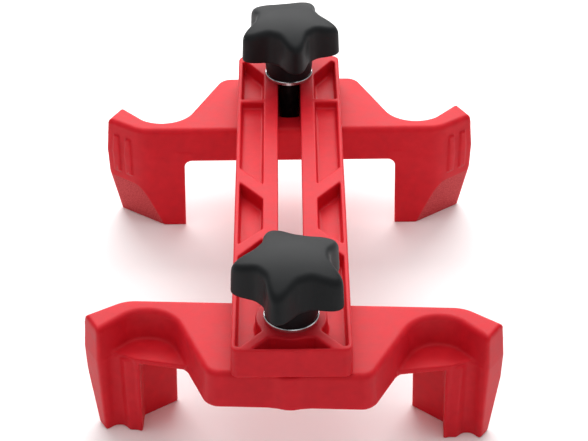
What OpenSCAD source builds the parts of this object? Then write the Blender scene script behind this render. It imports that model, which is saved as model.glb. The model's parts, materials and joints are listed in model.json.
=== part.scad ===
// Slotted clamp bar with two swivelling claw bars, each held by a bolt and a star knob.
// Millimetres. +Y runs along the slide bar, +Z is up, z = 0 is the plane of the jaw tips.
// The origin is midway between the two clamp bolts.

/* [Slide bar] */
// Width across the slide bar
rail_w = 42.8; // [38:0.1:50]
// Height of the slide bar
rail_h = 12.4; // [11:0.1:16]
// Overall length of the slide bar
rail_l = 195.5; // [190:0.5:240]
// Distance between the two clamp bolts as stored
bolt_gap = 161.7; // [120:0.1:162]
// Front end of the slide bar to the front bolt
front_overhang = 19; // [17:0.5:24]
// Width of the long slot
slot_w = 9.2; // [8.6:0.1:10]
// Width of the solid band on each side of the slot
band_w = 5.9; // [5:0.1:7]
// Thickness of the outer walls
wall_t = 2; // [1.6:0.1:2.4]
// Depth of the long side pockets
long_pocket_depth = 3.4; // [2:0.1:5]
// Depth of the other pockets
deep_pocket_depth = 6; // [4:0.1:8]

/* [Claw bars] */
// Height of the crossbar above the jaws
beam_h = 14.6; // [12:0.1:18]
// Height of the jaws below the crossbar
jaw_h = 33.5; // [28:0.5:40]
// Bolt axis to the straight smooth side
smooth_y = 24.3; // [22:0.1:26]
// Bolt axis to the flat face of the centre block
block_y = 18.1; // [16:0.1:19]
// Bolt axis to the outer corner, across the bar
corner_x = 77.2; // [75:0.1:78]
// Angle that the outer end of the smooth side turns back
end_angle = 34; // [30:1:36]
// Radius of the round recess between centre block and jaw
recess_r = 12.5; // [12:0.1:13]
// Thickness of the shelf under the recess
shelf_t = 2.3; // [2:0.1:4]
// Radius of the round well around the bolt, in the top of the bar
well_r = 14.3; // [12:0.1:15]
// Depth of that well
well_depth = 7.4; // [5:0.1:7.6]
// Swivel of the front bar as stored
front_swivel = -2.7; // [-20:0.1:20]
// Swivel of the rear bar as stored
rear_swivel = 0.3; // [-20:0.1:20]

/* [Knobs] */
// Radius over the lobes
knob_r = 21.2; // [18:0.1:22]
// Radius of the knob in the valleys between its lobes
valley_r = 14.2; // [12:0.1:15]
// Radius of the knob hub at its foot
hub_r = 9.5; // [9:0.1:11]
// Height of the hub below the lobes
hub_h = 10.3; // [9:0.1:15]
// Height of the lobed grip
star_h = 16.6; // [10:0.1:18]
// Turn of the front knob
front_knob_turn = 39; // [0:1:71]
// Turn of the rear knob
rear_knob_turn = 63; // [0:1:71]

/* [Bolts] */
// Diameter of the bolt shank
bolt_d = 8; // [6:1:8]
// Running clearance around the bolt, on the radius
run_gap = 0.05; // [0.02:0.01:0.1]
// Hexagon of the bolt head, across flats
head_af = 13; // [12:0.5:13]
// Height of the bolt head
head_h = 5.3; // [4:0.1:6]
// Outer radius of the washers
washer_r = 9.9; // [9:0.1:12]
// Thickness of the washers
washer_t = 1.6; // [1:0.1:2]
// Length of thread inside the knob
thread_in = 11; // [8:0.5:12]

/* [Hidden] */
$fn = 96;

RED = [0.80, 0.13, 0.17];
BLACK = [0.13, 0.14, 0.15];
ZINC = [0.78, 0.79, 0.80];
BRASS = [0.78, 0.65, 0.35];
OXIDE = [0.07, 0.07, 0.08];

eps = 0.01;
front_y = -bolt_gap / 2;
rear_y = bolt_gap / 2;
bar_top = jaw_h + beam_h;
rail_top = bar_top + rail_h;
rail_front = front_y - front_overhang;
rail_back = rail_front + rail_l;

// Slide bar layout, measured back from its front end
slot_start = 46;
slot_end_wall = 6;
corner_r = 3;
ring_r = 12.7;
rib_t = 2.2;
front_wall_t = 1.4;
cross_rib_y = 160;
pocket_in = slot_w / 2 + band_w;
pocket_out = rail_w / 2 - wall_t;
pocket_rise = 11;
brace_rise = 9.5;
long_pocket_y = 106;
brace_back_y = 96;
brace_front_y = 66.5;
front_pocket_back_y = 59.5;
rear_pocket_y = 185.5;
pocket_corner = 1.5;
nose_front_x = 13.6;
nose_back_x = 8;
nose_back_y = 7.4;

// Claw bar layout, measured from the bolt axis
bend_x = 58;
bend_r = 14;
recess_x = 53;
recess_y = 3.4;
tip_x = 71.5;
tip_y = 5.3;
flank_angle = 65;
tip_angle = 38;
block_corner_r = 7;
boss_r = 10.5;
boss_y = 9.4;
jaw_x = 44.3;
jaw_fillet = 3.2;
finger_x = 55.6;
finger_y = 4.2;
plate_out_y = 13.4;
plate_in_y = 22;
groove_r = 3.1;
groove_x = 64.8;
groove_lip = 1.2;
groove_start = 50;
nose_w = 2;
nose_crown = 0.5;
tooth_w = 2.4;
tooth_crown = 0.3;
facet_x = 52;
facet_y = 24.8;
facet_tilt = 14.3;
facet_angle = 34.5;
end_taper = 2.2;
rib_far = 72.6;
rib_near = 67.6;
rib_w = 3.4;
rib_h = 0.8;
rib_root = 1;
rib_drop = 9;
rib_l = 17.6;
shelf_x = 36;
shelf_y = 0.4;
cut_reach = 60;

// Knob and insert layout
crown_r = 45.6;
edge_r = 0.9;
hub_flare = 0.7;
lobes = 5;
lobe_power = 1.6;
lobe_step = 3;
insert_r = 5.5;
insert_flange_r = 6.5;
insert_flange_t = 1.2;
insert_gap = 0.08;
insert_h = 13;
blind_gap = 0.5;
bolt_hole_r = bolt_d / 2 + run_gap;
head_gap = 0.15;
knob_z = rail_top + washer_t;
bolt_end_z = knob_z + thread_in;
chamfer = 0.6;

function arc(cx, cy, r, a0, a1, n = 16) =
    [for (i = [0:n]) let (a = a0 + (a1 - a0) * i / n) [cx + r * cos(a), cy + r * sin(a)]];

function bend_end() =
    [bend_x + bend_r * sin(end_angle), smooth_y - bend_r + bend_r * cos(end_angle)];
function outer_corner() =
    [corner_x, bend_end()[1] - (corner_x - bend_end()[0]) * tan(end_angle)];
function smooth_side() = concat(
    arc(bend_x, smooth_y - bend_r, bend_r, 90, 90 - end_angle),
    [outer_corner(), [tip_x, tip_y]]);

// Centre of the rounded corner of the centre block, tangent to the flank and the front face
function flank_start() =
    [recess_x - recess_r * sin(flank_angle), recess_y + recess_r * cos(flank_angle)];
function block_corner() =
    [flank_start()[0] - (block_corner_r
        + (flank_start()[1] + block_y - block_corner_r) * cos(flank_angle)) / sin(flank_angle),
     block_corner_r - block_y];

// Rounded front end of the outer wall
function nose() =
    [[tip_x + nose_crown, finger_y + nose_crown], [tip_x - nose_w / 2, finger_y],
     [tip_x - nose_w, finger_y + tooth_crown]];

// Right half of the crossbar in plan: straight smooth side up, recess and centre block down
function beam_half() = concat(
    [[0, smooth_y]],
    smooth_side(),
    nose(),
    arc(recess_x, recess_y, recess_r, 90 - tip_angle, 90 + flank_angle, 24),
    arc(block_corner()[0], block_corner()[1], block_corner_r, flank_angle - 90, -90),
    [[0, -block_y]]);

// Right jaw in plan
function jaw_plan() = concat(
    [[jaw_x, smooth_y]],
    smooth_side(),
    nose(),
    [[groove_x + groove_r, finger_y + groove_lip]],
    arc(groove_x, finger_y, groove_r, groove_start, 180 - groove_start, 8),
    [[groove_x - groove_r, finger_y + groove_lip],
     [groove_x - groove_r - nose_crown, finger_y + nose_crown],
     [finger_x + tooth_w, finger_y + tooth_crown], [finger_x + tooth_w / 2, finger_y - tooth_crown],
     [finger_x, finger_y], [finger_x, plate_out_y], [jaw_x, plate_in_y]]);

module both_sides() {
    children();
    mirror([1, 0, 0]) children();
}

// Space below the lead-in facet at the lower outer corner of the smooth side
module facet_cut() {
    translate([facet_x, facet_y, 0])
        rotate([0, 0, -facet_angle])
            rotate([-facet_tilt, 0, 0])
                translate([-cut_reach, 0, -cut_reach])
                    cube([2 * cut_reach, cut_reach, 2 * cut_reach]);
}

// Space outside the tapered outer end, below the crossbar
module taper_cut() {
    translate([corner_x, outer_corner()[1], jaw_h])
        rotate([0, 0, atan2(outer_corner()[1] - tip_y, corner_x - tip_x)])
            rotate([end_taper, 0, 0])
                translate([-cut_reach, -cut_reach, -cut_reach])
                    cube([2 * cut_reach, cut_reach, cut_reach]);
}

module jaw() {
    difference() {
        linear_extrude(jaw_h + eps) polygon(jaw_plan());
        facet_cut();
        taper_cut();
    }
    // Fillet between jaw and crossbar
    translate([jaw_x, plate_in_y, jaw_h])
        rotate([-90, 0, 0])
            linear_extrude(smooth_y - plate_in_y)
                difference() {
                    translate([-jaw_fillet, 0]) square([jaw_fillet + eps, jaw_fillet]);
                    translate([-jaw_fillet, jaw_fillet]) circle(jaw_fillet);
                }
    // Two grip ribs on the turned-back face
    for (x = [rib_near, rib_far])
        translate([x, bend_end()[1] - (x - bend_end()[0]) * tan(end_angle), jaw_h - rib_drop])
            rotate([0, 0, -end_angle])
                translate([-rib_w / 2, -rib_root, 0])
                    cube([rib_w, rib_root + rib_h, rib_l]);
}

module shelf() {
    translate([0, 0, jaw_h])
        linear_extrude(shelf_t)
            polygon([[shelf_x, shelf_y], [finger_x + tooth_w, finger_y], [groove_x, finger_y + groove_r],
                     [recess_x + recess_r / 2, recess_y + recess_r],
                     [recess_x - recess_r, recess_y + recess_r]]);
}

// Claw bar about its own bolt axis, smooth side towards +Y
module claw_bar() {
    color(RED)
        difference() {
            union() {
                both_sides() {
                    translate([0, 0, jaw_h])
                        linear_extrude(beam_h) polygon(beam_half());
                    shelf();
                    jaw();
                }
                translate([0, -boss_y, jaw_h]) cylinder(r = boss_r, h = beam_h);
            }
            translate([0, 0, jaw_h - 1]) cylinder(r = bolt_hole_r + head_gap, h = beam_h + 2);
            translate([0, 0, bar_top - well_depth]) cylinder(r = well_r, h = well_depth + 1);
            translate([0, 0, jaw_h - 1])
                rotate(30)
                    cylinder(d = (head_af + 2 * head_gap) / cos(30), h = head_h + 1, $fn = 6);
        }
}

module front_jaw_bar() { translate([0, front_y, 0]) rotate(front_swivel) claw_bar(); }
module rear_jaw_bar() { translate([0, rear_y, 0]) rotate(180 + rear_swivel) claw_bar(); }

// Slide bar pockets, as plan outlines on the +X side, measured back from the front end
function long_pocket() =
    [[pocket_in, long_pocket_y - pocket_rise / 2], [pocket_out, long_pocket_y + pocket_rise / 2],
     [pocket_out, cross_rib_y - rib_t / 2], [pocket_in, cross_rib_y - rib_t / 2]];
function brace_pocket() =
    [[pocket_in, brace_front_y + brace_rise / 2], [pocket_out, brace_front_y - brace_rise / 2],
     [pocket_out, brace_back_y + pocket_rise / 2], [pocket_in, brace_back_y - pocket_rise / 2]];
function rear_pocket() =
    [[pocket_in, cross_rib_y + rib_t / 2], [pocket_out, cross_rib_y + rib_t / 2],
     [pocket_out, rear_pocket_y + pocket_rise / 2 - pocket_corner],
     [pocket_out - pocket_corner, rear_pocket_y + pocket_rise / 2],
     [pocket_in, rear_pocket_y - pocket_rise / 2]];
function front_pocket() =
    [[pocket_in, front_pocket_back_y + pocket_rise / 2],
     [pocket_out, front_pocket_back_y - pocket_rise / 2], [pocket_out, corner_r],
     [pocket_out - pocket_corner, front_wall_t + 1], [pocket_in, nose_back_y + rib_t + pocket_corner]];
function nose_pocket() =
    [[-nose_front_x, front_wall_t], [nose_front_x, front_wall_t],
     [nose_back_x, nose_back_y], [-nose_back_x, nose_back_y]];

module pocket(outline, depth) {
    translate([0, rail_front, rail_top - depth])
        linear_extrude(depth + 1) polygon(outline);
}

module rounded_plate(w, l, h, r) {
    for (x = [r, w - r], y = [r, l - r]) translate([x, y, 0]) cylinder(r = r, h = h);
    translate([r, 0, 0]) cube([w - 2 * r, l, h]);
    translate([0, r, 0]) cube([w, l - 2 * r, h]);
}

module slide_bar() {
    color(RED)
        difference() {
            translate([-rail_w / 2, rail_front, bar_top])
                rounded_plate(rail_w, rail_l, rail_h, corner_r);
            both_sides() {
                pocket(long_pocket(), long_pocket_depth);
                pocket(brace_pocket(), deep_pocket_depth);
                pocket(rear_pocket(), deep_pocket_depth);
                difference() {
                    pocket(front_pocket(), deep_pocket_depth);
                    translate([0, front_y, bar_top]) cylinder(r = ring_r, h = rail_h + 2);
                }
            }
            difference() {
                pocket(nose_pocket(), deep_pocket_depth);
                translate([0, front_y, bar_top]) cylinder(r = ring_r, h = rail_h + 2);
            }
            // Hole for the front bolt and the long slot for the rear bolt
            translate([0, front_y, bar_top - 1]) cylinder(r = bolt_hole_r, h = rail_h + 2);
            slot_cut();
        }
}

module slot_cut() {
    y0 = rail_front + slot_start + slot_w / 2;
    y1 = rail_back - slot_end_wall - slot_w / 2;
    translate([0, y0, bar_top - 1]) cylinder(d = slot_w, h = rail_h + 2);
    translate([0, y1, bar_top - 1]) cylinder(d = slot_w, h = rail_h + 2);
    translate([-slot_w / 2, y0, bar_top - 1]) cube([slot_w, y1 - y0, rail_h + 2]);
}

module bolt() {
    color(OXIDE) {
        translate([0, 0, jaw_h])
            rotate(30) cylinder(d = head_af / cos(30), h = head_h, $fn = 6);
        translate([0, 0, jaw_h]) cylinder(d = bolt_d, h = bolt_end_z - jaw_h - chamfer);
        translate([0, 0, bolt_end_z - chamfer])
            cylinder(d1 = bolt_d, d2 = bolt_d - 2 * chamfer, h = chamfer);
    }
}

module front_bolt() { translate([0, front_y, 0]) rotate(front_swivel) bolt(); }
module rear_bolt() { translate([0, rear_y, 0]) rotate(rear_swivel) bolt(); }

module washer() {
    color(ZINC)
        translate([0, 0, rail_top])
            difference() {
                cylinder(r = washer_r, h = washer_t);
                translate([0, 0, -1]) cylinder(r = bolt_hole_r, h = washer_t + 2);
            }
}

module front_washer() { translate([0, front_y, 0]) washer(); }
module rear_washer() { translate([0, rear_y, 0]) washer(); }

// Star outline in plan
function lobe(a) = pow((1 + cos(lobes * a)) / 2, lobe_power);
function star() = [for (a = [0:lobe_step:360 - lobe_step])
    (valley_r + (knob_r - valley_r) * lobe(a)) * [cos(a), sin(a)]];

// Half profile of the grip: rounded lower edge, upright side, top crowned to a ball
module grip_profile() {
    polygon(concat(
        [[0, 0]],
        arc(knob_r - edge_r, edge_r, edge_r, -90, 0, 6),
        arc(0, star_h - crown_r, crown_r, acos(knob_r / crown_r), 90, 24)));
}

module knob() {
    color(BLACK)
        difference() {
            union() {
                cylinder(r1 = hub_r, r2 = hub_r + hub_flare, h = hub_h + eps);
                translate([0, 0, hub_h])
                    intersection() {
                        linear_extrude(star_h + 1) polygon(star());
                        rotate_extrude() grip_profile();
                    }
            }
            translate([0, 0, -1])
                cylinder(r = insert_flange_r + insert_gap, h = insert_flange_t + 1);
            cylinder(r = insert_r + insert_gap, h = insert_h + insert_gap);
        }
}

module front_knob() { translate([0, front_y, knob_z]) rotate(front_knob_turn) knob(); }
module rear_knob() { translate([0, rear_y, knob_z]) rotate(rear_knob_turn) knob(); }

module knob_insert() {
    color(BRASS)
        difference() {
            union() {
                cylinder(r = insert_r, h = insert_h);
                cylinder(r = insert_flange_r, h = insert_flange_t - insert_gap);
            }
            translate([0, 0, -1]) cylinder(r = bolt_hole_r, h = 1 + thread_in + blind_gap);
        }
}

module front_knob_insert() { translate([0, front_y, knob_z]) knob_insert(); }
module rear_knob_insert() { translate([0, rear_y, knob_z]) knob_insert(); }

slide_bar();
front_jaw_bar();
rear_jaw_bar();
front_bolt();
rear_bolt();
front_washer();
rear_washer();
front_knob();
rear_knob();
front_knob_insert();
rear_knob_insert();
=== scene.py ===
"""Looks of the camshaft pulley locking clamp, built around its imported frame.

The mouldings and the bolt heads are shaped as distance fields in millimetres, each in
its own axes, and turned into smooth meshes: a field is negative inside the solid. Bolt
shanks are built ring by ring, and washers are turned from an outline. Places and
heights come from the frame, and so do the knob inserts.
"""
import json
import math

import bpy
import numpy as np
from mathutils import Matrix, Vector


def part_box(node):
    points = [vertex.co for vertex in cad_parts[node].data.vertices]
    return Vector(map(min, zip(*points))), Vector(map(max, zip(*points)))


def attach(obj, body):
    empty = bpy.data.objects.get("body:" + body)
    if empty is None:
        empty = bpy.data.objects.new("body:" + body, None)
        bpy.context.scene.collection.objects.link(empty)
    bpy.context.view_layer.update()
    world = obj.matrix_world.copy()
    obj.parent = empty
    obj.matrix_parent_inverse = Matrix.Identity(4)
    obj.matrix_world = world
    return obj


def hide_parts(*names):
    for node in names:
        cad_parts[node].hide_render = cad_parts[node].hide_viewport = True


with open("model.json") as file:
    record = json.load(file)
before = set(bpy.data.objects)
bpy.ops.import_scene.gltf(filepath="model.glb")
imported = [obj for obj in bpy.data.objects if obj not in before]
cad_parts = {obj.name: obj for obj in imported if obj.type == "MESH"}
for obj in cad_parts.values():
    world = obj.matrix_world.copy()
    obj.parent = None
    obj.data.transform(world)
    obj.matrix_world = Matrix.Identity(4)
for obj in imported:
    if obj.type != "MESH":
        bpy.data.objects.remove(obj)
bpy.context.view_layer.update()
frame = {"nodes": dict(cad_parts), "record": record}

MM = 0.001
joints = {j["name"]: j for j in frame["record"]["behaviour"]["joints"]}
rail_low, rail_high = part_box("slide_bar")
washer_low, washer_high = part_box("front_washer")
bolt_low, bolt_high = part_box("front_bolt")

# Heights and places taken from the frame, in millimetres
RAIL_W = (rail_high.x - rail_low.x) / MM
RAIL_L = (rail_high.y - rail_low.y) / MM
RAIL_H = (rail_high.z - rail_low.z) / MM
RAIL_FRONT = rail_low.y / MM
RAIL_TOP = rail_high.z / MM
BAR_TOP = rail_low.z / MM
JAW_H = bolt_low.z / MM
FRONT_Y = joints["front_swivel"]["pos_m"][1] / MM
REAR_Y = joints["rear_swivel"]["pos_m"][1] / MM
KNOB_Z = washer_high.z / MM
WASHER_T = (washer_high.z - washer_low.z) / MM
WASHER_R = (washer_high.x - washer_low.x) / 2 / MM
BOLT_END = bolt_high.z / MM

# Turns of the claw bars and knobs as in the photograph, in degrees
FRONT_SWIVEL, REAR_SWIVEL = -2.7, 0.3
FRONT_KNOB_TURN, REAR_KNOB_TURN = 39, 63

# Claw bar, from its bolt axis, smooth side towards +Y
SMOOTH_Y = 24.3
BLOCK_Y = 18.1
CORNER_X = 77.2
END_ANGLE = math.radians(34)
BEND_X, BEND_R = 58, 14
TIP = (71.5, 5.3)
TIP_ANGLE = math.radians(38)
RECESS = (53, 3.4)
RECESS_R = 12.5
FLANK_ANGLE = math.radians(65)
BLOCK_CORNER_R = 7
BOSS_Y, BOSS_R = -9.4, 10.5
SHELF_T = 2.3
JAW_X = 44.0
PLATE_IN_Y, PLATE_OUT_Y = 21.8, 13.2
PAST_MIDDLE = 40
FINGER_X, FINGER_Y = 55.4, 4.1
GROOVE_X, GROOVE_R = 64.8, 3.1
GROOVE_FROM, GROOVE_TO = math.radians(50), math.radians(130)
GROOVE_LIP = 1.2
NOSE_CROWN, TOOTH_CROWN, TOOTH_W = 0.5, 0.3, 2.4
SHELF_X, SHELF_Y = 36, 0.4
RIB_PLACES, RIB_HALF_W, RIB_STANDS = (67.6, 72.6), 1.7, 0.8
RIB_BELOW, RIB_ABOVE = 9, 8.6
SHAFT_HOLE_R, HEX_POCKET_HALF = 4.2, 6.65
FACET_X, FACET_Y = 52.0, 24.8
FACET_ANGLE, FACET_TILT = math.radians(34.5), math.radians(14.3)
FACET_NEAR = (0.985, 0.995)
END_TAPER = math.radians(2.2)
WALL_DRAFT = math.tan(math.radians(3.3))
JAW_DRAFT = math.tan(math.radians(1.0))
JAW_FILLET = 3.2
WELL_R, WELL_DEPTH = 14.3, 7.4

# Knob
KNOB_R, VALLEY_R, HUB_R = 21.2, 14.2, 9.5
HUB_H, STAR_H, CROWN_R = 10.3, 16.6, 45.6
LOBE_POWER = 1.6
INSERT_R, INSERT_H = 5.6, 13.1
FLANGE_R, FLANGE_T = 6.6, 1.2
HUB_FLARE, STAR_LEAN = 0.07, 0.04

# Bolt and washer
SHANK_R, PITCH, THREAD_DEPTH, THREAD_RUN_IN = 3.98, 1.25, 0.62, 1.5
TIP_CHAMFER_H, TIP_CHAMFER_W = 0.8, 0.6
HEAD_H, HEAD_HALF = 5.3, 6.5
CONE_FOOT_R, CONE_RUN, CONE_LENGTH = 6.6, 1.6, 1.9
CUP_R, CUP_DEPTH = 4.4, 0.35
HEAD_REACH = 7.6
WASHER_HOLE_R, WASHER_EDGE = 4.1, 0.25

# Slide bar, from its front end and its underside
RAIL_CORNER_R, RAIL_DRAFT = 3, 0.025
SLOT_W, BAND_W, WALL_T = 9.2, 5.9, 2.0
SLOT_START, SLOT_END_WALL, SLOT_DRAFT = 46, 6, 0.01
BOLT_HOLE_R = 4.05
RING_R = 12.7
IN, OUT = SLOT_W / 2 + BAND_W, RAIL_W / 2 - WALL_T
CROSS_Y, RIB = 160, 1.1
DEEP, SHALLOW, POCKET_DRAFT, POCKET_EDGE = 6, 3.4, 0.035, 0.6
CORNER_CUT = 1.5
MIDDLE_POCKET = [(-13.6, 1.4), (13.6, 1.4), (8, 7.4), (-8, 7.4)]

# Grid cells of the fields
CELL, KNOB_CELL, HEAD_CELL = 0.5, 0.4, 0.25


# ---------------------------------------------------------------- distance fields

def arc(centre, radius, start, end, steps=16):
    """Points along an arc, angles in radians."""
    turns = [start + (end - start) * i / steps for i in range(steps + 1)]
    return [(centre[0] + radius * math.cos(a), centre[1] + radius * math.sin(a)) for a in turns]


def plan_distance(outline, x, y):
    """Signed distance in plan from a closed outline."""
    shape = np.broadcast(x, y).shape
    nearest = np.full(shape, 1e9)
    inside = np.zeros(shape, bool)
    ends = outline[1:] + outline[:1]
    for (ax, ay), (bx, by) in zip(outline, ends):
        ex, ey = bx - ax, by - ay
        along = np.clip(((x - ax) * ex + (y - ay) * ey) / (ex * ex + ey * ey), 0, 1)
        nearest = np.minimum(nearest, np.hypot(x - ax - along * ex, y - ay - along * ey))
        if ay != by:
            inside ^= ((ay > y) != (by > y)) & (x < ax + (y - ay) * ex / ey)
    return np.where(inside, -nearest, nearest)


def slab(plan, z, low, high, rim_low, rim_high):
    """A plan raised between two heights, with both rims rounded."""
    middle = (low + high) / 2
    rim = np.where(z > middle, rim_high, rim_low)
    side = plan + rim
    end = np.abs(z - middle) - (high - low) / 2 + rim
    outer = np.hypot(np.maximum(side, 0), np.maximum(end, 0))
    return outer + np.minimum(np.maximum(side, end), 0) - rim


def join(a, b, soft):
    """Union, with a fillet of about the given size."""
    near = np.clip(soft - np.abs(a - b), 0, None) / soft
    return np.minimum(a, b) - near * near * soft / 4


def keep(a, b, soft):
    """What two fields share, with a rounded edge."""
    return -join(-a, -b, soft)


def cut(a, b, soft):
    """The first field less the second, with a rounded edge."""
    return -join(-a, b, soft)


def hexagon_distance(x, y, half_flats):
    """Distance in plan from a hexagon that has two flats along X."""
    return np.maximum(np.abs(x) * math.cos(math.pi / 6) + np.abs(y) * 0.5, np.abs(y)) - half_flats


# ---------------------------------------------------------------- field to mesh

def net(field, low, cell):
    """Vertices and quads of a field's zero surface: one vertex in each crossed cell."""
    inside = field < 0
    nx, ny, nz = (size - 1 for size in inside.shape)
    count = sum(inside[i:nx + i, j:ny + j, k:nz + k].astype(np.int8)
                for i in (0, 1) for j in (0, 1) for k in (0, 1))
    cells = np.argwhere((count > 0) & (count < 8))
    number = np.full(count.shape, -1)
    number[tuple(cells.T)] = np.arange(len(cells))
    total = np.zeros((len(cells), 3))
    hits = np.zeros(len(cells))
    for axis in range(3):
        others = [a for a in range(3) if a != axis]
        for i in (0, 1):
            for j in (0, 1):
                corner = cells.copy()
                corner[:, others[0]] += i
                corner[:, others[1]] += j
                far = corner.copy()
                far[:, axis] += 1
                a = field[tuple(corner.T)]
                b = field[tuple(far.T)]
                crossed = (a < 0) != (b < 0)
                share = np.where(crossed, a / np.where(crossed, a - b, 1), 0)
                point = corner.astype(float)
                point[:, axis] += share
                total += point * crossed[:, None]
                hits += crossed
    points = np.asarray(low) + cell * total / hits[:, None]
    quads = []
    for axis in range(3):
        u, v = [a for a in range(3) if a != axis]
        step = [slice(None)] * 3
        step[axis] = slice(1, None)
        back = [slice(None)] * 3
        back[axis] = slice(None, -1)
        crossed = np.argwhere(inside[tuple(step)] != inside[tuple(back)])
        ring = []
        for du, dv in ((0, 0), (1, 0), (1, 1), (0, 1)):
            near = crossed.copy()
            near[:, u] -= du
            near[:, v] -= dv
            ring.append(number[tuple(near.T)])
        face = np.stack(ring, 1)
        enters = inside[tuple(crossed.T)]
        if axis == 1:
            enters = ~enters
        face[~enters] = face[~enters][:, ::-1]
        quads.append(face)
    return points, np.concatenate(quads)


def slopes(field, low, cell, points):
    """Unit normals of a field at points, by its differences on the grid."""
    steps = (points - np.asarray(low)) / cell
    base = np.clip(steps.astype(int), 1, np.array(field.shape) - 3)
    part = steps - base
    normals = np.zeros_like(points)
    for i in (0, 1):
        for j in (0, 1):
            for k in (0, 1):
                corner = base + (i, j, k)
                weight = (np.abs(1 - i - part[:, 0]) * np.abs(1 - j - part[:, 1])
                          * np.abs(1 - k - part[:, 2]))
                for axis in range(3):
                    ahead, behind = corner.copy(), corner.copy()
                    ahead[:, axis] += 1
                    behind[:, axis] -= 1
                    rise = field[tuple(ahead.T)] - field[tuple(behind.T)]
                    normals[:, axis] += weight * rise
    return normals / np.linalg.norm(normals, axis=1)[:, None]


def solid(name, shape, low, high, place, cell=CELL, thin=0.4):
    """A mesh object of a field over a box in millimetres, moved to its place in the frame."""
    offset = cell * 0.37
    low = np.asarray(low, float) - 2 * cell - offset
    sides = [low[a] + cell * np.arange(int((high[a] - low[a]) / cell) + 4) for a in range(3)]
    x = sides[0][:, None, None]
    y = sides[1][None, :, None]
    z = sides[2][None, None, :]
    field = shape(x, y, z)
    points, quads = net(field, low, cell)
    mesh = bpy.data.meshes.new(name)
    mesh.from_pydata([tuple(p) for p in points], [], [tuple(q) for q in quads.tolist()])
    mesh.polygons.foreach_set("use_smooth", [True] * len(mesh.polygons))
    piece = bpy.data.objects.new(name, mesh)
    bpy.context.scene.collection.objects.link(piece)
    if thin < 1:
        fewer = piece.modifiers.new("fewer", "DECIMATE")
        fewer.ratio = thin
        apply_modifiers(piece)
        mesh = piece.data
    flat = np.empty(len(mesh.vertices) * 3)
    mesh.vertices.foreach_get("co", flat)
    normals = slopes(field, low, cell, flat.reshape(-1, 3))
    mesh.polygons.foreach_set("use_smooth", [True] * len(mesh.polygons))
    mesh.normals_split_custom_set_from_vertices([tuple(n) for n in normals])
    mesh.transform(Matrix.Scale(MM, 4) @ place)
    return piece


def apply_modifiers(piece):
    """Bakes a piece's modifiers into its mesh."""
    seen = piece.evaluated_get(bpy.context.evaluated_depsgraph_get())
    done = bpy.data.meshes.new_from_object(seen)
    old = piece.data
    piece.modifiers.clear()
    piece.data = done
    bpy.data.meshes.remove(old)


def lathe(name, profile, place, steps=64):
    """A closed ring turned from (radius, height) points in millimetres."""
    count = len(profile)
    points = []
    for i in range(steps):
        a = math.tau * i / steps
        points += [(r * math.cos(a), r * math.sin(a), h) for r, h in profile]
    faces = []
    for i in range(steps):
        here, there = i * count, (i + 1) % steps * count
        for k in range(count):
            n = (k + 1) % count
            faces.append((here + k, there + k, there + n, here + n))
    mesh = bpy.data.meshes.new(name)
    mesh.from_pydata(points, [], faces)
    mesh.transform(Matrix.Scale(MM, 4) @ place)
    piece = bpy.data.objects.new(name, mesh)
    bpy.context.scene.collection.objects.link(piece)
    return piece


def at(y, z=0, turn=0):
    """A place on the slide bar's centre line, in millimetres and degrees."""
    return Matrix.Translation((0, y, z)) @ Matrix.Rotation(math.radians(turn), 4, "Z")


# ---------------------------------------------------------------- claw bars

def end_face(x):
    """A point of the turned-back face of the smooth side."""
    bend_x = BEND_X + BEND_R * math.sin(END_ANGLE)
    bend_y = SMOOTH_Y - BEND_R + BEND_R * math.cos(END_ANGLE)
    return x, bend_y - (x - bend_x) * math.tan(END_ANGLE)


OUTER_CORNER = end_face(CORNER_X)


def smooth_side():
    """Bend of the smooth side and the outer corner that it runs to."""
    bend = arc((BEND_X, SMOOTH_Y - BEND_R), BEND_R, math.pi / 2, math.pi / 2 - END_ANGLE)
    return bend + [OUTER_CORNER]


def nose():
    """Rounded front end of the outer wall."""
    return [(TIP[0] + 1.5, FINGER_Y + 2.6), (TIP[0] + 0.4, FINGER_Y + NOSE_CROWN),
            (TIP[0] - 0.8, FINGER_Y), (TIP[0] - 2.2, FINGER_Y + TOOTH_CROWN)]


def beam_plan():
    """Right half of the crossbar in plan, carried past the middle."""
    recess = arc(RECESS, RECESS_R, math.pi / 2 - TIP_ANGLE, math.pi / 2 + FLANK_ANGLE, 24)
    flank_x, flank_y = recess[-1]
    centre_y = BLOCK_CORNER_R - BLOCK_Y
    reach = BLOCK_CORNER_R + (flank_y - centre_y) * math.cos(FLANK_ANGLE)
    centre = (flank_x - reach / math.sin(FLANK_ANGLE), centre_y)
    block = arc(centre, BLOCK_CORNER_R, FLANK_ANGLE - math.pi / 2, -math.pi / 2)
    back, front = (-PAST_MIDDLE, SMOOTH_Y), (-PAST_MIDDLE, -BLOCK_Y)
    return [back] + smooth_side() + nose() + recess + block + [front]


def jaw_plan():
    """Right jaw: wedge plate, outer wall and the toothed finger in front of it."""
    groove = arc((GROOVE_X, FINGER_Y), GROOVE_R, GROOVE_FROM, GROOVE_TO, 8)
    lip_y = FINGER_Y + GROOVE_LIP
    tooth = [(GROOVE_X - GROOVE_R, lip_y), (GROOVE_X - GROOVE_R - 0.6, FINGER_Y + NOSE_CROWN),
             (FINGER_X + TOOTH_W, FINGER_Y + TOOTH_CROWN), (FINGER_X + 1, FINGER_Y - TOOTH_CROWN),
             (FINGER_X, FINGER_Y)]
    plate = [(FINGER_X, PLATE_OUT_Y), (JAW_X, PLATE_IN_Y)]
    outer = smooth_side() + nose() + [(GROOVE_X + GROOVE_R, lip_y)]
    return [(JAW_X, SMOOTH_Y)] + outer + groove + tooth + plate


def shelf_plan():
    """Floor under the recess, between the block and the finger."""
    return [(SHELF_X, SHELF_Y), (FINGER_X + 2, FINGER_Y), (TIP[0] - 6, FINGER_Y + 4),
            (RECESS[0] + 6, RECESS[1] + RECESS_R), (RECESS[0] - 12, RECESS[1] + RECESS_R)]


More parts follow.
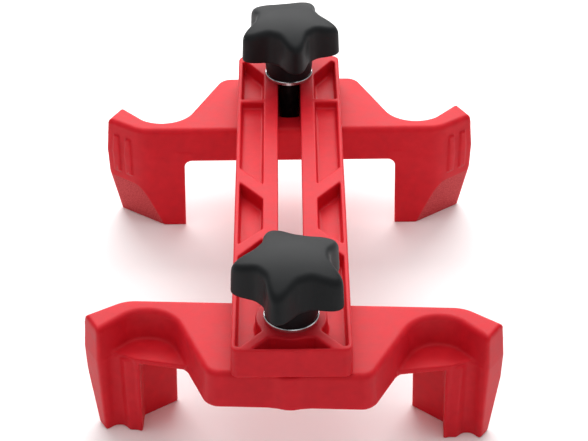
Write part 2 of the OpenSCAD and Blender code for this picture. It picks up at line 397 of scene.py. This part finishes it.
def crossbar(x, y, z):
    """Crossbar with its front boss, the walls leaning in towards the top."""
    lean = WALL_DRAFT * np.maximum(z - JAW_H, 0)
    beam = slab(plan_distance(beam_plan(), x, y) + lean, z, JAW_H - 0.5, BAR_TOP, 0.5, 2.1)
    boss = np.hypot(x, y - BOSS_Y) - BOSS_R + lean
    return join(beam, slab(boss, z, JAW_H, BAR_TOP - 0.3, 0.6, 1.2), 1.2)


def jaw(x, y, z):
    """Jaw below the crossbar, with the fillet in its inner corner."""
    rise = z - JAW_H
    plan = plan_distance(jaw_plan(), x, y) + JAW_DRAFT * np.maximum(-rise, 0)
    body = slab(plan, z, 0, JAW_H + 1, 0.35, 0.3)
    fillet = JAW_FILLET - np.hypot(x - JAW_X + JAW_FILLET, rise + 0.5 + JAW_FILLET)
    near = np.maximum(np.abs(x - JAW_X) - JAW_FILLET, np.abs(rise) - JAW_FILLET - 0.5)
    depth = np.abs(y - (PLATE_IN_Y + SMOOTH_Y) / 2) - (SMOOTH_Y - PLATE_IN_Y) / 2
    return np.minimum(body, np.maximum(np.maximum(fillet, near), depth))


def grip_rib(x, y, z, place_x):
    """One upright rib on the turned-back face."""
    rise = z - JAW_H
    foot_x, foot_y = end_face(place_x)
    ca, sa = math.cos(END_ANGLE), math.sin(END_ANGLE)
    u = (x - foot_x) * ca - (y - foot_y) * sa
    v = (x - foot_x) * sa + (y - foot_y) * ca
    plan = np.maximum(np.abs(u) - RIB_HALF_W, np.abs(v) - RIB_STANDS)
    plan = plan + WALL_DRAFT * np.maximum(rise, 0) + JAW_DRAFT * np.maximum(-rise, 0)
    return slab(plan, z, JAW_H - RIB_BELOW, JAW_H + RIB_ABOVE, 0.3, 0.4)


def shape_end(body, x, y, z):
    """Drafts the outer end and cuts the lead-in facet at its lower corner."""
    rise = z - JAW_H
    corner_x, corner_y = OUTER_CORNER
    end_dir = math.atan2(corner_y - TIP[1], corner_x - TIP[0])
    out = (x - corner_x) * math.sin(end_dir) - (y - corner_y) * math.cos(end_dir)
    taper = out * math.cos(END_TAPER) - rise * math.sin(END_TAPER)
    taper = np.maximum(taper, out + WALL_DRAFT * np.maximum(rise, 0))
    lead = (x - FACET_X) * math.sin(FACET_ANGLE) + (y - FACET_Y) * math.cos(FACET_ANGLE)
    lead = lead * math.cos(FACET_TILT) - z * math.sin(FACET_TILT)
    body = keep(body, taper, 1.2)
    return np.maximum(body, keep(lead, taper, 2.0))


def bolt_seat(body, x, y, z):
    """Cuts the well in the top, the bolt hole and the hexagon pocket."""
    radius = np.hypot(x, y)
    body = cut(body, np.maximum(radius - WELL_R, BAR_TOP - WELL_DEPTH - z), 0.4)
    body = cut(body, radius - SHAFT_HOLE_R, 0.3)
    hexagon = hexagon_distance(x, y, HEX_POCKET_HALF)
    return cut(body, np.maximum(hexagon, z - JAW_H - HEAD_H), 0.3)


def claw_bar(x, y, z):
    """Field of a claw bar about its bolt axis."""
    x = np.abs(x)
    shelf = slab(plan_distance(shelf_plan(), x, y), z, JAW_H, JAW_H + SHELF_T, 0.4, 0.5)
    body = join(crossbar(x, y, z), shelf, 1.4)
    body = np.minimum(body, jaw(x, y, z))
    for place_x in RIB_PLACES:
        body = join(body, grip_rib(x, y, z, place_x), 0.5)
    body = shape_end(body, x, y, z)
    body = np.maximum(body, z - BAR_TOP)
    return bolt_seat(body, x, y, z)


def make_claw_bar(name, node, body, y, turn):
    """One claw bar, with its red made for the way that its facets face."""
    low = (-CORNER_X - 1, BOSS_Y - BOSS_R - 1, 0)
    high = (CORNER_X + 1, SMOOTH_Y + 1, BAR_TOP)
    piece = solid(name, claw_bar, low, high, at(y, 0, turn))
    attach(piece, body)
    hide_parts(node)
    piece.data.materials.append(red_plastic(name + "_red", at(y, 0, turn)))


# ---------------------------------------------------------------- slide bar

def pockets():
    """Plan outline and depth of the pockets on the +X side, and whether the ring bounds them."""
    flat = [(IN, 100.5), (OUT, 111.5), (OUT, CROSS_Y - RIB), (IN, CROSS_Y - RIB)]
    middle = [(IN, 71.2), (OUT, 61.8), (OUT, 101.5), (IN, 90.5)]
    rear = [(IN, CROSS_Y + RIB), (OUT, CROSS_Y + RIB), (OUT, 190), (OUT - CORNER_CUT, 191), (IN, 180)]
    front = [(IN, 65), (OUT, 54), (OUT, 3), (OUT - CORNER_CUT, 2.6), (IN, 11.2)]
    return [(flat, SHALLOW, False), (middle, DEEP, False), (rear, DEEP, False), (front, DEEP, True)]


def plate(side, y, z):
    """Plate with round corners in plan, its walls leaning in towards the top."""
    px = side - (RAIL_W / 2 - RAIL_CORNER_R)
    py = np.abs(y - RAIL_L / 2) - (RAIL_L / 2 - RAIL_CORNER_R)
    plan = np.hypot(np.maximum(px, 0), np.maximum(py, 0)) + np.minimum(np.maximum(px, py), 0)
    return slab(plan - RAIL_CORNER_R + RAIL_DRAFT * z, z, 0, RAIL_H, 0.8, 0.7)


def pocket(plan, z, depth):
    """A drafted pocket, sunk from the top of the slide bar."""
    plan = plan + POCKET_DRAFT * (RAIL_H - z)
    return slab(plan, z, RAIL_H - depth, RAIL_H + 4, 0.8, 0)


def slide_bar(x, y, z):
    """Field of the slide bar, y measured from its front end, z from its underside."""
    side = np.abs(x)
    body = plate(side, y, z)
    bolt_y = FRONT_Y - RAIL_FRONT
    ring = RING_R - np.hypot(x, y - bolt_y)
    for outline, depth, by_ring in pockets():
        plan = plan_distance(outline, side, y) + POCKET_EDGE
        if by_ring:
            plan = keep(plan, ring + POCKET_EDGE, POCKET_EDGE)
        body = cut(body, pocket(plan - POCKET_EDGE, z, depth), POCKET_EDGE)
    plan = keep(plan_distance(MIDDLE_POCKET, x, y), ring, 0.4)
    body = cut(body, pocket(plan, z, DEEP), POCKET_EDGE)
    along = np.clip(y, SLOT_START + SLOT_W / 2, RAIL_L - SLOT_END_WALL - SLOT_W / 2)
    slot = np.hypot(x, y - along) - SLOT_W / 2 + SLOT_DRAFT * (z - RAIL_H)
    body = cut(body, slot, POCKET_EDGE)
    return cut(body, np.hypot(x, y - bolt_y) - BOLT_HOLE_R, 0.4)


# ---------------------------------------------------------------- knobs, bolts, washers

def star_plan():
    """Five lobes in plan."""
    reach = KNOB_R - VALLEY_R
    angles = [math.tau * i / 150 for i in range(150)]
    radii = [VALLEY_R + reach * ((1 + math.cos(5 * a)) / 2) ** LOBE_POWER for a in angles]
    return [(r * math.cos(a), r * math.sin(a)) for r, a in zip(radii, angles)]


def knob(x, y, z):
    """Field of a star knob about its axis, z from the foot of its hub."""
    radius = np.hypot(x, y)
    hub = slab(radius - HUB_R - HUB_FLARE * z, z, 0, HUB_H + 3, 0.5, 0.5)
    lean = STAR_LEAN * (z - HUB_H)
    star = slab(plan_distance(star_plan(), x, y) + lean, z, HUB_H, HUB_H + STAR_H + 2, 0.9, 0.5)
    crown = np.sqrt(radius ** 2 + (z - (HUB_H + STAR_H - CROWN_R)) ** 2) - CROWN_R
    grip = keep(star, crown, 2.4)
    body = join(hub, grip, 1.2)
    hole = np.maximum(radius - INSERT_R, z - INSERT_H)
    flange = np.maximum(radius - FLANGE_R, z - FLANGE_T)
    return cut(body, np.minimum(hole, flange), 0.2)


def bolt_mesh(name, place):
    """The threaded shank of an M8 bolt, with a real helix."""
    steps, per_turn = 40, 8
    low, high = JAW_H + HEAD_H, BOLT_END
    rows = int((high - low) / PITCH * per_turn)
    points, faces = [], []
    for i in range(rows + 1):
        h = low + (high - low) * i / rows
        started = max(0, min(1, (h - RAIL_TOP) / THREAD_RUN_IN))
        chamfer = TIP_CHAMFER_W * max(0, 1 - (high - h) / TIP_CHAMFER_H)
        for k in range(steps):
            a = math.tau * k / steps
            wave = abs(((h / PITCH - k / steps) % 1) * 2 - 1)
            r = SHANK_R - THREAD_DEPTH * wave * started - chamfer
            points.append((r * math.cos(a), r * math.sin(a), h))
    for i in range(rows):
        for k in range(steps):
            n = (k + 1) % steps
            faces.append((i * steps + k, i * steps + n, (i + 1) * steps + n, (i + 1) * steps + k))
    faces.append([rows * steps + k for k in range(steps)])
    faces.append(list(range(steps))[::-1])
    mesh = bpy.data.meshes.new(name)
    mesh.from_pydata(points, [], faces)
    mesh.polygons.foreach_set("use_smooth", [True] * len(mesh.polygons))
    mesh.transform(Matrix.Scale(MM, 4) @ place)
    return mesh


def hex_head(x, y, z):
    """Field of a hexagon head with a chamfered underside and a round recess in it."""
    radius = np.hypot(x, y)
    cone = (radius - CONE_FOOT_R - z * CONE_RUN) / CONE_LENGTH
    body = np.maximum(hexagon_distance(x, y, HEAD_HALF), np.maximum(-z, z - HEAD_H))
    body = keep(body, cone, 0.15)
    return cut(body, np.maximum(radius - CUP_R, z - CUP_DEPTH), 0.2)


# ---------------------------------------------------------------- materials

class Nodes:
    """Short calls for one material's nodes."""

    def __init__(self, name):
        self.material = bpy.data.materials.new(name)
        self.material.use_nodes = True
        self.tree = self.material.node_tree
        self.shader = self.tree.nodes["Principled BSDF"]

    def add(self, kind, links=(), **values):
        node = self.tree.nodes.new("ShaderNode" + kind)
        for key, value in values.items():
            if hasattr(node, key):
                setattr(node, key, value)
            else:
                node.inputs[key.replace("_", " ").title()].default_value = value
        for source, target in links:
            self.tree.links.new(source, node.inputs[target])
        return node

    def link(self, source, target):
        self.tree.links.new(source, self.shader.inputs[target])

    def noise(self, coords, scale, detail=3.0, roughness=0.5):
        node = self.add("TexNoise", [(coords, "Vector")])
        node.inputs["Scale"].default_value = scale
        node.inputs["Detail"].default_value = detail
        node.inputs["Roughness"].default_value = roughness
        return node.outputs["Fac"]

    def ramp(self, value, stops):
        node = self.add("ValToRGB", [(value, "Fac")])
        while len(node.color_ramp.elements) < len(stops):
            node.color_ramp.elements.new(0.5)
        for element, (place, colour) in zip(node.color_ramp.elements, stops):
            element.position = place
            element.color = (*colour, 1)
        return node.outputs["Color"]

    def range(self, value, low, high):
        node = self.add("MapRange", [(value, "Value")])
        node.inputs["To Min"].default_value = low
        node.inputs["To Max"].default_value = high
        return node.outputs["Result"]

    def blend(self, share, first, second):
        """Mixes two colours; a colour Mix takes them on sockets 6 and 7 and gives socket 2."""
        node = self.add("Mix", data_type="RGBA")
        for source, socket in ((share, 0), (first, 6), (second, 7)):
            self.tree.links.new(source, node.inputs[socket])
        return node.outputs[2]

    def facing(self, normal, place):
        """1 where the surface faces along either lead-in facet of a claw bar, else 0."""
        found = []
        for side in (1, -1):
            way = Vector((side * math.sin(FACET_ANGLE) * math.cos(FACET_TILT),
                          math.cos(FACET_ANGLE) * math.cos(FACET_TILT), -math.sin(FACET_TILT)))
            node = self.add("VectorMath", [(normal, 0)], operation="DOT_PRODUCT")
            node.inputs[1].default_value = place.to_3x3() @ way
            edge = self.add("MapRange", [(node.outputs["Value"], "Value")])
            edge.inputs["From Min"].default_value = FACET_NEAR[0]
            edge.inputs["From Max"].default_value = FACET_NEAR[1]
            found.append(edge.outputs["Result"])
        both = self.add("Math", [(found[0], 0), (found[1], 1)], operation="MAXIMUM")
        return both.outputs[0]

    def bump(self, height, distance, strength=1.0, normal=None):
        node = self.add("Bump", [(height, "Height")])
        node.inputs["Distance"].default_value = distance
        node.inputs["Strength"].default_value = strength
        if normal is not None:
            self.tree.links.new(normal, node.inputs["Normal"])
        return node.outputs["Normal"]


def red_plastic(name, place):
    """Red nylon with fine mottling, flow marks and a satin skin; its lead-in facets are greyer."""
    n = Nodes(name)
    texture = n.add("TexCoord")
    coords = texture.outputs["Object"]
    fine = n.noise(coords, 2600, 2.0)
    mottle = n.noise(coords, 260, 4.0)
    flow = n.noise(coords, 38, 3.0)
    tone = n.add("Mix", [(mottle, "A"), (flow, "B")])
    tone.inputs["Factor"].default_value = 0.45
    colour = n.ramp(tone.outputs["Result"], [
        (0.30, (0.54, 0.007, 0.016)), (0.52, (0.61, 0.009, 0.019)), (0.72, (0.67, 0.013, 0.024))])
    facet = n.facing(texture.outputs["Normal"], place)
    grey = n.ramp(fine, [(0.35, (0.40, 0.020, 0.026)), (0.65, (0.60, 0.075, 0.080))])
    n.link(n.blend(facet, colour, grey), "Base Color")
    n.link(n.blend(facet, n.range(mottle, 0.40, 0.56), n.range(fine, 0.62, 0.80)), "Roughness")
    n.shader.inputs["Specular IOR Level"].default_value = 0.17
    n.shader.inputs["Subsurface Weight"].default_value = 0.22
    n.shader.inputs["Subsurface Radius"].default_value = (1.0, 0.12, 0.08)
    n.shader.inputs["Subsurface Scale"].default_value = 0.004
    rough = n.bump(mottle, 0.00006)
    n.link(n.bump(fine, 0.00003, 1.0, rough), "Normal")
    return n.material


def black_plastic(name):
    """Matt textured black grip, a little paler where light rakes the texture."""
    n = Nodes(name)
    coords = n.add("TexCoord").outputs["Object"]
    grain = n.noise(coords, 3200, 2.0)
    cloud = n.noise(coords, 120, 4.0)
    n.link(n.ramp(cloud, [(0.3, (0.004, 0.005, 0.006)), (0.7, (0.008, 0.009, 0.010))]), "Base Color")
    n.link(n.range(cloud, 0.46, 0.58), "Roughness")
    n.shader.inputs["Specular IOR Level"].default_value = 0.18
    n.link(n.bump(grain, 0.00005), "Normal")
    return n.material


def zinc(name):
    """Bright zinc plate with fine turning lines."""
    n = Nodes(name)
    coords = n.add("TexCoord").outputs["Object"]
    cloud = n.noise(coords, 500, 3.0)
    n.link(n.ramp(cloud, [(0.3, (0.62, 0.64, 0.66)), (0.7, (0.80, 0.81, 0.82))]), "Base Color")
    n.shader.inputs["Metallic"].default_value = 1.0
    n.link(n.range(cloud, 0.16, 0.32), "Roughness")
    n.link(n.bump(cloud, 0.00002), "Normal")
    return n.material


def black_oxide(name):
    """Oiled black oxide steel."""
    n = Nodes(name)
    coords = n.add("TexCoord").outputs["Object"]
    cloud = n.noise(coords, 420, 4.0)
    n.link(n.ramp(cloud, [(0.3, (0.012, 0.012, 0.014)), (0.75, (0.035, 0.034, 0.034))]), "Base Color")
    n.shader.inputs["Metallic"].default_value = 0.7
    n.link(n.range(cloud, 0.28, 0.5), "Roughness")
    n.link(n.bump(cloud, 0.00002), "Normal")
    return n.material


def brass(name):
    """Turned brass bush."""
    n = Nodes(name)
    coords = n.add("TexCoord").outputs["Object"]
    cloud = n.noise(coords, 600, 3.0)
    n.link(n.ramp(cloud, [(0.3, (0.60, 0.42, 0.16)), (0.7, (0.74, 0.55, 0.24))]), "Base Color")
    n.shader.inputs["Metallic"].default_value = 1.0
    n.link(n.range(cloud, 0.22, 0.38), "Roughness")
    n.link(n.bump(cloud, 0.00002), "Normal")
    return n.material


# ---------------------------------------------------------------- pieces

def make_slide_bar():
    """The slide bar on top of the claw bars."""
    place = Matrix.Translation((0, RAIL_FRONT, BAR_TOP))
    rail = solid("slide_bar_moulding", slide_bar, (-RAIL_W / 2, 0, 0), (RAIL_W / 2, RAIL_L, RAIL_H),
                 place)
    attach(rail, "rail")
    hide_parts("slide_bar")
    rail.data.materials.append(red_plastic("slide_bar_red", place))


def make_knob(end, y, turn):
    """The star knob of one end."""
    grip = solid(end + "_star_knob", knob, (-KNOB_R, -KNOB_R, 0), (KNOB_R, KNOB_R, HUB_H + STAR_H),
                 at(y, KNOB_Z, turn), KNOB_CELL)
    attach(grip, end + "_grip")
    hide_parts(end + "_knob")
    grip.data.materials.append(knob_black)


def make_washer(end, y):
    """The washer under a knob; the rear one slides along the slot."""
    hole, rim, c = WASHER_HOLE_R, WASHER_R, WASHER_EDGE
    ring = [(hole, c), (hole + c, 0), (rim - c, 0), (rim, c),
            (rim, WASHER_T - c), (rim - c, WASHER_T), (hole + c, WASHER_T), (hole, WASHER_T - c)]
    washer = lathe(end + "_plain_washer", ring, at(y, RAIL_TOP))
    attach(washer, "rail" if end == "front" else "rear_slider")
    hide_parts(end + "_washer")
    washer.data.materials.append(plate_zinc)


def make_bolt(end, y, swivel):
    """Shank and head of one bolt, turned with its claw bar."""
    shank_mesh = bolt_mesh(end + "_bolt_shank", at(y, 0, swivel))
    shank = bpy.data.objects.new(end + "_bolt_shank", shank_mesh)
    bpy.context.scene.collection.objects.link(shank)
    low, high = (-HEAD_REACH, -HEAD_REACH, 0), (HEAD_REACH, HEAD_REACH, HEAD_H)
    head = solid(end + "_bolt_head", hex_head, low, high, at(y, JAW_H, swivel), HEAD_CELL)
    for piece in (shank, head):
        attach(piece, end + "_jaw")
        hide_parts(end + "_bolt")
        piece.data.materials.append(steel_black)


def colour_insert(end):
    """Brass on a knob insert, whose shape stays the frame's."""
    insert = frame["nodes"][end + "_knob_insert"]
    insert.data.materials.clear()
    insert.data.materials.append(insert_brass)


make_claw_bar("front_claw_moulding", "front_jaw_bar", "front_jaw", FRONT_Y, FRONT_SWIVEL)
make_claw_bar("rear_claw_moulding", "rear_jaw_bar", "rear_jaw", REAR_Y, 180 + REAR_SWIVEL)
make_slide_bar()

knob_black = black_plastic("grip_black")
plate_zinc = zinc("zinc_plate")
steel_black = black_oxide("black_oxide")
insert_brass = brass("insert_brass")

for end, y, turn, swivel in (("front", FRONT_Y, FRONT_KNOB_TURN, FRONT_SWIVEL),
                             ("rear", REAR_Y, REAR_KNOB_TURN, REAR_SWIVEL)):
    make_knob(end, y, turn)
    make_washer(end, y)
    make_bolt(end, y, swivel)
    colour_insert(end)


# ---------------------------------------------------------------- floor, light, camera

def floor():
    mesh = bpy.data.meshes.new("floor")
    half = 3.0
    corners = [(-half, -half, 0), (half, -half, 0), (half, half, 0), (-half, half, 0)]
    mesh.from_pydata(corners, [], [(0, 1, 2, 3)])
    piece = bpy.data.objects.new("floor", mesh)
    bpy.context.scene.collection.objects.link(piece)
    n = Nodes("pale_floor")
    n.shader.inputs["Base Color"].default_value = (0.97, 0.97, 0.97, 1)
    n.shader.inputs["Roughness"].default_value = 0.8
    mesh.materials.append(n.material)


def area_light(name, place, size, power):
    """A softbox turned towards the clamp."""
    data = bpy.data.lights.new(name, "AREA")
    data.shape = "RECTANGLE"
    data.size, data.size_y = size
    data.energy = power
    lamp = bpy.data.objects.new(name, data)
    lamp.location = place
    lamp.rotation_euler = (Vector(LIT_POINT) - Vector(place)).to_track_quat("-Z", "Y").to_euler()
    bpy.context.scene.collection.objects.link(lamp)


LIT_POINT = (0, 0, 0.03)
floor()
area_light("back_softbox", (0, 1.05, 0.85), (1.6, 0.9), 24)
area_light("top_softbox", (0, 0.1, 1.2), (1.4, 1.2), 7.5)
area_light("front_softbox", (0, -1.1, 0.9), (1.0, 0.6), 1.6)
area_light("left_softbox", (-1.0, -0.2, 0.5), (0.6, 0.6), 0.3)
area_light("right_softbox", (1.0, -0.2, 0.5), (0.6, 0.6), 0.6)

world = bpy.data.worlds.new("studio")
world.use_nodes = True
world.node_tree.nodes["Background"].inputs["Color"].default_value = (1, 1, 1, 1)
world.node_tree.nodes["Background"].inputs["Strength"].default_value = 0.32
bpy.context.scene.world = world
bpy.context.scene.view_settings.view_transform = "Standard"

# The camera stands in front of the clamp and looks down along it
CAMERA_PLACE = (-1.2, -609.6, 487.2)
CAMERA_DOWN, CAMERA_YAW, CAMERA_ROLL = 36.07, 0.25, 0.32
FOCAL = 118.1

camera_data = bpy.data.cameras.new("camera")
camera_data.lens = FOCAL
camera_data.sensor_width = 36
camera = bpy.data.objects.new("camera", camera_data)
look = (Matrix.Rotation(math.radians(-CAMERA_YAW), 4, "Z")
        @ Matrix.Rotation(math.radians(90 - CAMERA_DOWN), 4, "X")
        @ Matrix.Rotation(math.radians(-CAMERA_ROLL), 4, "Z"))
camera.matrix_world = Matrix.Translation(Vector(CAMERA_PLACE) * MM) @ look
bpy.context.scene.collection.objects.link(camera)
bpy.context.scene.camera = camera
